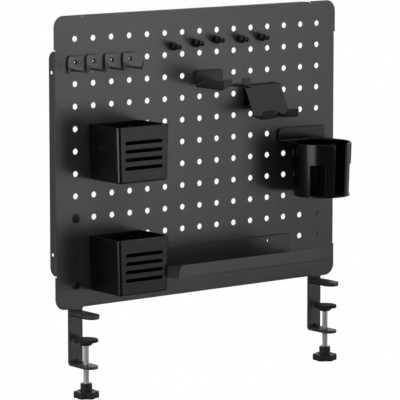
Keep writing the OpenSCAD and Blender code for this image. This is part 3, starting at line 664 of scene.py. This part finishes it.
def bracket(node):
    low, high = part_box(node)
    piece = copied(node)
    weld(piece)
    plug_l = BAR_THICKNESS - JIG_HOLE_DEPTH
    plug_middle = ((low[0] + high[0]) / 2, high[1] - plug_l / 2, low[2] + BAR_THICKNESS + JIG_HOLE_RISE)
    combine(piece, "UNION", [start_rod("plug", plug_middle, JIG_HOLE_R + PLUG_LAP, plug_l)])
    round_edges(piece, BAR_EDGE)
    return hand_over(piece, node)


for side in SIDES:
    piece = bracket(f"{side}_clamp_bracket")
    print(piece.name, len(piece.data.polygons), extent(piece))

# %% [markdown]
# The clamp screws carry a real thread, because it's the brightest thing in the picture.
#
# A bump could fake it, but its outline would stay smooth. One turn of the thread's outline is drawn as a
# short chain of edges, and the Screw modifier winds it upwards by one pitch a turn. A turn too many at each
# end is cut off by a level plane, which leaves flat ends. It is a right-hand thread with a 1.5 mm pitch, as
# the joint has it: the foot rises as the knob turns.

# %% Threaded clamp screws
PITCH = 1.5 * MM
THREAD_DEPTH = 0.85 * MM
THREAD_STEPS = 28
THREAD_SMOOTH_ANGLE = 30
CREST_STARTS, CREST_ENDS, FLANK_ENDS = 0.40, 0.54, 0.94


def threaded_rod(node):
    low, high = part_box(node)
    foot = ((low[0] + high[0]) / 2, (low[1] + high[1]) / 2, low[2])
    crest = (high[0] - low[0]) / 2
    root = crest - THREAD_DEPTH
    length = high[2] - low[2]
    shares = [(root, 0), (crest, CREST_STARTS), (crest, CREST_ENDS), (root, FLANK_ENDS), (root, 1)]
    rod = draw_line(node + "_threaded", foot, [(r, 0, (share - 1) * PITCH) for r, share in shares])
    close_mesh()
    turns = math.ceil(length / PITCH) + 2
    apply_modifier(
        rod,
        "SCREW",
        angle=math.radians(360),
        screw_offset=PITCH,
        iterations=turns,
        steps=THREAD_STEPS,
        render_steps=THREAD_STEPS,
        use_merge_vertices=True,
        merge_threshold=WELD,
    )
    open_mesh(rod)
    tidy_shell()
    for level, inner in ((low[2], True), (high[2], False)):
        bpy.ops.mesh.select_all(action="SELECT")
        bpy.ops.mesh.bisect(
            plane_co=(foot[0], foot[1], level),
            plane_no=(0, 0, 1),
            use_fill=True,
            clear_inner=inner,
            clear_outer=not inner,
        )
    bpy.ops.mesh.select_all(action="SELECT")
    bpy.ops.mesh.normals_make_consistent(inside=False)
    close_mesh()
    bpy.ops.object.shade_smooth_by_angle(angle=math.radians(THREAD_SMOOTH_ANGLE))
    return hand_over(rod, node)


for side in SIDES:
    rod = threaded_rod(f"{side}_clamp_rod")
    print(rod.name, len(rod.data.polygons), extent(rod))

# %% [markdown]
# The push pins are turned: a straight base, a hollow neck and a ball to grip.
#
# Half of the outline is drawn in front of the panel and spun round the pin's axis. Its edges are drawn
# round from the start, so the glossy plastic catches a thin line of light there. One pin is spun, and the
# other four are copies with meshes of their own, set where the model has them.

# %% Push pins
PIN_BASE_R = 7 * MM
PIN_BASE_H = 10 * MM
PIN_NECK_R = 3.5 * MM
PIN_NECK_AT = 16 * MM
PIN_BALL_R = 4.5 * MM
PIN_BALL_AT = 21.5 * MM
PIN_EDGE = 0.8 * MM
PIN_SPIN_STEPS = 40
PIN_SMOOTH_ANGLE = 35


def round_stretch(middle_r, middle_h, radius, start, end, steps):
    """Points of an arc in an outline, by angles in degrees from the side towards the tip"""
    angles = [math.radians(start + (end - start) * i / steps) for i in range(steps + 1)]
    return [(middle_r + radius * math.cos(a), middle_h + radius * math.sin(a)) for a in angles]


def pin_outline():
    """Radius and height of the half outline, from the foot to the tip"""
    neck_drop = PIN_BASE_R - PIN_EDGE - PIN_NECK_R
    neck_rise = PIN_NECK_AT - PIN_BASE_H
    neck = [
        (PIN_NECK_R + neck_drop * (1 - math.sin(a)), PIN_BASE_H + neck_rise * (1 - math.cos(a)))
        for a in [math.radians(90 * i / 8) for i in range(1, 9)]
    ]
    meet = math.degrees(math.acos(PIN_NECK_R / PIN_BALL_R))
    return (
        [(0, 0), (PIN_BASE_R - PIN_EDGE, 0)]
        + round_stretch(PIN_BASE_R - PIN_EDGE, PIN_EDGE, PIN_EDGE, -60, 0, 3)
        + round_stretch(PIN_BASE_R - PIN_EDGE, PIN_BASE_H - PIN_EDGE, PIN_EDGE, 0, 90, 4)
        + neck
        + round_stretch(0, PIN_BALL_AT, PIN_BALL_R, -meet, 90, 12)
    )


def pin_foot(number):
    low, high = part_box(f"push_pin_{number}")
    return Vector(((low[0] + high[0]) / 2, high[1], (low[2] + high[2]) / 2))


first_foot = pin_foot(1)
pin = draw_line("push_pin_1_turned", first_foot, [(r, -h, 0) for r, h in pin_outline()])
bpy.ops.mesh.select_all(action="SELECT")
bpy.ops.mesh.spin(steps=PIN_SPIN_STEPS, angle=math.radians(360), center=first_foot, axis=(0, 1, 0))
tidy_shell()
close_mesh()
bpy.ops.object.shade_smooth_by_angle(angle=math.radians(PIN_SMOOTH_ANGLE))
pins = [pin]
for number in range(2, 6):
    pick(pin)
    bpy.ops.object.duplicate(linked=False)
    copy = bpy.context.object
    copy.name = f"push_pin_{number}_turned"
    bpy.ops.transform.translate(value=pin_foot(number) - first_foot)
    pins.append(copy)
for number, piece in enumerate(pins, start=1):
    hand_over(piece, f"push_pin_{number}")
print("push pins", len(pins), "faces each", len(pin.data.polygons))

# %% [markdown]
# A bin is one moulding: four drafted walls, a rounded foot, and slots in the front to save plastic.
#
# It starts as a closed box of its outer size. The lower corners move in by the draft, which lets the
# moulding slip out of its mould, and the back leans away from the panel. The upright corners and then the
# foot are bevelled, the lid is deleted, and Solidify gives the shell its 2 mm wall inwards. Slots, magnet
# bosses and their pockets follow as Booleans, and a last narrow bevel softens the rim.

# %% Storage bins
BIN_HEIGHT = 94.8 * MM
BIN_DRAFT = 2.6 * MM
BIN_BACK_GAP = 0.9 * MM
BIN_BACK_LEAN = 2.8 * MM
BIN_WALL = 2 * MM
BIN_FRONT_R = 6 * MM
BIN_BACK_R = 3.2 * MM
BIN_FOOT_R = 3 * MM
SLOT_LENGTH = 77.8 * MM
SLOT_HEIGHT = 6.1 * MM
SLOT_DROP = 26.7 * MM
SLOT_STEP = 14.3 * MM
MAGNET_R = 7.5 * MM
MAGNET_DEPTH = 3 * MM
BOSS_WALL = 1.5 * MM
BOSS_FLOOR = 2 * MM
MAGNET_INSET = 18 * MM
MAGNET_ROW_HEIGHT = 94 * MM
SLOT_COUNT = 4
BIN_ANGLE = 32
CUT_PAST = 3 * MM
ROOM = 0.05 * MM


def moulded_bin(node):
    low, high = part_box(node)
    middle_x, front, panel_face, rim = (low[0] + high[0]) / 2, low[1], high[1], high[2]
    width = high[0] - low[0]
    foot, back = rim - BIN_HEIGHT, panel_face - BIN_BACK_GAP
    shell = start_box(node + "_moulded", (low[0], front, foot), (high[0], back, rim))
    open_mesh(shell)
    choose("VERT", lambda v: v.co.z < foot + MM)
    bpy.ops.transform.resize(value=(1 - 2 * BIN_DRAFT / width, 1, 1), center_override=(middle_x, 0, foot))
    choose("VERT", lambda v: v.co.z < foot + MM and v.co.y > back - MM)
    bpy.ops.transform.translate(value=(0, -BIN_BACK_LEAN, 0))
    middle_y = (front + back) / 2
    choose("EDGE", lambda e: upright(e) and middle_of(e).y < middle_y)
    bpy.ops.mesh.bevel(offset=BIN_FRONT_R, segments=10)
    choose("EDGE", lambda e: upright(e) and middle_of(e).y > middle_y)
    bpy.ops.mesh.bevel(offset=BIN_BACK_R, segments=6)
    choose("FACE", lambda f: f.normal.z < -ALONG)
    bpy.ops.mesh.region_to_loop()
    bpy.ops.mesh.bevel(offset=BIN_FOOT_R, segments=6)
    choose("FACE", lambda f: f.normal.z > ALONG)
    bpy.ops.mesh.delete(type="FACE")
    close_mesh()
    apply_modifier(shell, "SOLIDIFY", thickness=BIN_WALL, offset=-1, use_even_offset=True)

    slots = []
    for number in range(SLOT_COUNT):
        level = rim - SLOT_DROP - number * SLOT_STEP
        half_l, half_h = SLOT_LENGTH / 2, SLOT_HEIGHT / 2
        slot = start_box(
            "slot",
            (middle_x - half_l, front - CUT_PAST, level - half_h),
            (middle_x + half_l, front + BIN_WALL + CUT_PAST, level + half_h),
        )
        open_mesh(slot)
        choose("EDGE", front_to_back)
        bpy.ops.mesh.bevel(offset=half_h - ROOM, segments=8)
        close_mesh()
        slots.append(slot)
    combine(shell, "DIFFERENCE", slots)

    bosses, pockets = [], []
    boss_r = MAGNET_R + ROOM + BOSS_WALL
    for side in (-1, 1):
        for level in (rim - MAGNET_INSET, rim - MAGNET_ROW_HEIGHT + MAGNET_INSET):
            x = middle_x + side * (width / 2 - BIN_DRAFT - MAGNET_INSET)
            boss_l = MAGNET_DEPTH + BOSS_FLOOR
            bosses.append(start_rod("boss", (x, panel_face - boss_l / 2, level), boss_r, boss_l))
            pocket_l = MAGNET_DEPTH + ROOM
            pockets.append(
                start_rod("pocket", (x, panel_face + ROOM - pocket_l / 2, level), MAGNET_R + ROOM, pocket_l)
            )
    combine(shell, "UNION", bosses)
    combine(shell, "DIFFERENCE", pockets)
    round_edges(shell, MOULDED_EDGE, sharp=BIN_ANGLE)
    return hand_over(shell, node)


for node in ("upper_bin", "lower_bin"):
    piece = moulded_bin(node)
    print(piece.name, len(piece.data.polygons), extent(piece))

# %% [markdown]
# Each hook is a square plate on a magnet, with a round arm that is bent up at its end.
#
# The plate is a thin box with bevelled corners and three holes. The arm is a disc that is extruded forward,
# turned up in small steps round the middle of its bend, and extruded again. Its last ring is bevelled into
# a round tip. The magnet's own hole is smaller than the plate's, so only a speck of light comes through.
# With no window open, the rotate operator turns the other way, so its angle here is upwards.

# %% Hooks
HOOK_SHEET = 2 * MM
HOOK_CORNER_R = 4 * MM
HOOK_HOLE_R = 3.75 * MM
HOOK_MAGNET_HOLE_R = 1.5 * MM
HOOK_HOLE_DROP = 10.5 * MM
HOOK_SIDE_HOLE_R = 1.75 * MM
HOOK_SIDE_HOLE_SPAN = 16.6 * MM
HOOK_ARM_R = 2.25 * MM
HOOK_ARM_RISE = 5.5 * MM
HOOK_ARM_REACH = 38.5 * MM
HOOK_TIP_HEIGHT = 13.5 * MM
HOOK_TURN = 75
HOOK_BEND_R = 3.25 * MM
HOOK_BEND_STEPS = 8
HOOK_TIP_SHARE = 0.94
HOOK_ANGLE = 40
HOOK_MAGNET_CORNER_R = 3.5 * MM
HOOK_MAGNET_EDGE = 0.15 * MM


def rounded_plate(name, low, high, corner_r, holes):
    """A plate that faces forward, with round corners and round holes, given as x, z and radius"""
    plate = start_box(name, low, high)
    open_mesh(plate)
    choose("EDGE", front_to_back)
    bpy.ops.mesh.bevel(offset=corner_r, segments=8)
    close_mesh()
    middle_y = (low[1] + high[1]) / 2
    drills = [
        start_rod("drill", (x, middle_y, z), radius, high[1] - low[1] + 2 * CUT_PAST, sides=32)
        for x, z, radius in holes
    ]
    combine(plate, "DIFFERENCE", drills)
    return plate


def bent_arm(name, root, corner_y, tip_z):
    """A round bar from its root forward to a corner, and from there up to its tip"""
    bpy.ops.object.select_all(action="DESELECT")
    bpy.ops.mesh.primitive_circle_add(
        vertices=24, radius=HOOK_ARM_R, fill_type="NGON", location=root, rotation=(math.radians(90), 0, 0)
    )
    arm = bpy.context.object
    arm.name = name
    bpy.ops.object.transform_apply(location=True, rotation=True, scale=True)
    turn = math.radians(HOOK_TURN)
    setback = HOOK_BEND_R * math.tan(turn / 2)
    centre = Vector((root[0], corner_y + setback, root[2] + HOOK_BEND_R))
    open_mesh(arm)
    bpy.ops.mesh.extrude_region_move(TRANSFORM_OT_translate={"value": (0, centre.y - root[1], 0)})
    for step in range(HOOK_BEND_STEPS):
        bpy.ops.mesh.extrude_region_move(TRANSFORM_OT_translate={"value": (0, 0, 0)})
        bpy.ops.transform.rotate(value=turn / HOOK_BEND_STEPS, orient_axis="X", center_override=centre)
    up = Vector((0, -math.cos(turn), math.sin(turn)))
    bend_end = centre + Vector((0, -math.sin(turn), -math.cos(turn))) * HOOK_BEND_R
    bpy.ops.mesh.extrude_region_move(
        TRANSFORM_OT_translate={"value": up * ((tip_z - bend_end.z) / up.z)}
    )
    bpy.ops.mesh.region_to_loop()
    bpy.ops.mesh.bevel(offset=HOOK_ARM_R * HOOK_TIP_SHARE, segments=5)
    tidy_shell()
    close_mesh()
    return arm


def hook_with_magnet(number):
    low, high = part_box(f"hook_{number}")
    middle_x, top, plate_back = (low[0] + high[0]) / 2, high[2], high[1]
    arm_z = low[2] + HOOK_ARM_RISE
    hole_z = top - HOOK_HOLE_DROP
    half_span = HOOK_SIDE_HOLE_SPAN / 2
    plate = rounded_plate(
        f"hook_{number}_plate",
        (low[0], plate_back - HOOK_SHEET, low[2]),
        (high[0], plate_back, top),
        HOOK_CORNER_R,
        [
            (middle_x, hole_z, HOOK_HOLE_R),
            (middle_x - half_span, arm_z, HOOK_SIDE_HOLE_R),
            (middle_x + half_span, arm_z, HOOK_SIDE_HOLE_R),
        ],
    )
    root = (middle_x, plate_back - HOOK_SHEET / 2, arm_z)
    arm = bent_arm("arm", root, PANEL_FACE - HOOK_ARM_REACH, arm_z + HOOK_TIP_HEIGHT)
    combine(plate, "UNION", [arm])
    round_edges(plate, SHEET_EDGE, sharp=HOOK_ANGLE)
    hand_over(plate, f"hook_{number}")
    magnet_low, magnet_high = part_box(f"hook_magnet_{number}")
    magnet = rounded_plate(
        f"hook_magnet_{number}_sheet",
        magnet_low,
        magnet_high,
        HOOK_MAGNET_CORNER_R,
        [(middle_x, hole_z, HOOK_MAGNET_HOLE_R)],
    )
    round_edges(magnet, HOOK_MAGNET_EDGE, sharp=HOOK_ANGLE)
    hand_over(magnet, f"hook_magnet_{number}")
    return plate


for number in range(1, 5):
    piece = hook_with_magnet(number)
    print(piece.name, len(piece.data.polygons), extent(piece))

# %% [markdown]
# The studio has a pale round floor below the clamps, in a white surround.
#
# A floor that ends in a hard edge would draw a line across the picture when it's seen from the back. This
# one fades out towards its rim, by an Alpha that falls with the distance from its middle. It gives a little
# light of its own to stay pale, and no piece sees it, so it leaves the finishes alone.

# %% Floor
FLOOR_DROP = 0.74
FLOOR_RADIUS = 1.8
FLOOR_WHOLE_TO = 0.5
FLOOR_GONE_AT = 0.98 * FLOOR_RADIUS
FLOOR_GLOW = 0.5

bpy.ops.mesh.primitive_circle_add(
    vertices=128, radius=FLOOR_RADIUS, fill_type="NGON", location=(0, 0, -FLOOR_DROP)
)
floor = bpy.context.object
floor.name = "floor"
floor.visible_diffuse = False
floor.visible_glossy = False
floor_paint = Finish("pale floor")
away = floor_paint.node("ShaderNodeVectorMath", {"operation": "LENGTH"}, floor_paint.place, output="Value")
fade = floor_paint.node(
    "ShaderNodeMapRange",
    {"interpolation_type": "SMOOTHSTEP"},
    away,
    From_Min=FLOOR_WHOLE_TO,
    From_Max=FLOOR_GONE_AT,
    To_Min=1.0,
    To_Max=0.0,
)
floor.data.materials.append(
    floor_paint.set(
        Base_Color=(0.86, 0.86, 0.86, 1),
        Roughness=0.7,
        Emission_Color=(1, 1, 1, 1),
        Emission_Strength=FLOOR_GLOW,
        Alpha=fade,
    )
)

# %% [markdown]
# Light on a dark coat does two jobs, and they are easier to set apart.
#
# One light paints the matt coats and throws the long soft shadows to the left of each holder. It stands to
# the front right, a little below the panel's middle, and glossy surfaces don't see it. A faint copy of it
# and a dim card in front do the other job: they are seen by gloss alone, and give the front faces their
# sheen. A bright card on the left draws the upright streaks on the cup, the bins' corners and the rods, one
# high on the right lights the tilted phone rest, and a dim one on the right edges the cup. Three softboxes
# do both jobs, from overhead, from the left behind and from the right behind, and keep the tray's floor,
# the side flange and the back readable.


# %% Softboxes
STUDIO_MIDDLE = Vector((-0.1, 0, 0.22))


def softbox(name, turn, rise, away, width, height, radiance, aim=STUDIO_MIDDLE, spread=180, seen_by="both"):
    """An area light: turn is its direction from the front, towards the right, seen from the middle"""
    a, e = math.radians(turn), math.radians(rise)
    toward = Vector((math.sin(a) * math.cos(e), -math.cos(a) * math.cos(e), math.sin(e)))
    stand = STUDIO_MIDDLE + toward * away
    bpy.ops.object.light_add(type="AREA", location=stand)
    lamp = bpy.context.object
    lamp.name = name
    lamp.rotation_euler = (stand - Vector(aim)).to_track_quat("Z", "Y").to_euler()
    lamp.data.shape = "RECTANGLE"
    lamp.data.size = width
    lamp.data.size_y = height
    lamp.data.spread = math.radians(spread)
    lamp.data.energy = radiance * math.pi * width * height
    lamp.visible_camera = False
    lamp.visible_diffuse = seen_by != "gloss"
    lamp.visible_glossy = seen_by != "coat"
    return lamp


UPPER_LEFT = (-0.55, 0, 0.79)
softbox("key_softbox", 36, -8, 2.7, 1.1, 0.9, 1.40, aim=UPPER_LEFT, spread=45, seen_by="coat")
softbox("key_glow", 36, 0, 2.7, 1.1, 0.9, 0.045, aim=UPPER_LEFT, spread=56, seen_by="gloss")
softbox("front_card", 38, -6, 3.0, 1.9, 1.3, 0.48, seen_by="gloss")
softbox("left_card", -80, 8, 2.2, 1.5, 1.6, 3.6, seen_by="gloss")
softbox("right_card", 88, 6, 2.4, 0.9, 1.6, 0.5, seen_by="gloss")
softbox("rest_card", 49, 36, 2.6, 1.2, 1.0, 1.5, seen_by="gloss")
softbox("overhead_softbox", 0, 78, 2.2, 1.6, 1.2, 2.1)
softbox("left_back_softbox", -112, 10, 2.4, 1.2, 1.6, 1.3)
softbox("back_softbox", 142, 14, 2.6, 1.8, 1.2, 1.6)

# %% [markdown]
# The surround is white for the camera and dim for the pieces.
#
# A white one would wash the shadows out. So the camera's own rays see plain white, and every other ray sees
# a grey that is a little brighter behind the panel than in front of it.

# %% World
DIM_IN_FRONT = 0.060
DIM_BEHIND = 0.12
FRONT_END, BACK_END = -0.25, 0.45

world = bpy.data.worlds.new("studio")
bpy.context.scene.world = world
world.use_nodes = True
tree = world.node_tree
fill = tree.nodes["Background"]
place = tree.nodes.new("ShaderNodeTexCoord")
split = tree.nodes.new("ShaderNodeSeparateXYZ")
depth = tree.nodes.new("ShaderNodeMapRange")
depth.interpolation_type = "SMOOTHSTEP"
depth.inputs["From Min"].default_value = FRONT_END
depth.inputs["From Max"].default_value = BACK_END
depth.inputs["To Min"].default_value = DIM_IN_FRONT
depth.inputs["To Max"].default_value = DIM_BEHIND
tree.links.new(place.outputs["Generated"], split.inputs[0])
tree.links.new(split.outputs["Y"], depth.inputs["Value"])
tree.links.new(depth.outputs[0], fill.inputs["Strength"])
fill.inputs["Color"].default_value = (1, 1, 1, 1)
seen = tree.nodes.new("ShaderNodeBackground")
seen.inputs["Color"].default_value = (1, 1, 1, 1)
path = tree.nodes.new("ShaderNodeLightPath")
either = tree.nodes.new("ShaderNodeMixShader")
tree.links.new(path.outputs["Is Camera Ray"], either.inputs[0])
tree.links.new(fill.outputs[0], either.inputs[1])
tree.links.new(seen.outputs[0], either.inputs[2])
tree.links.new(either.outputs[0], tree.nodes["World Output"].inputs["Surface"])
bpy.context.scene.view_settings.view_transform = "Standard"
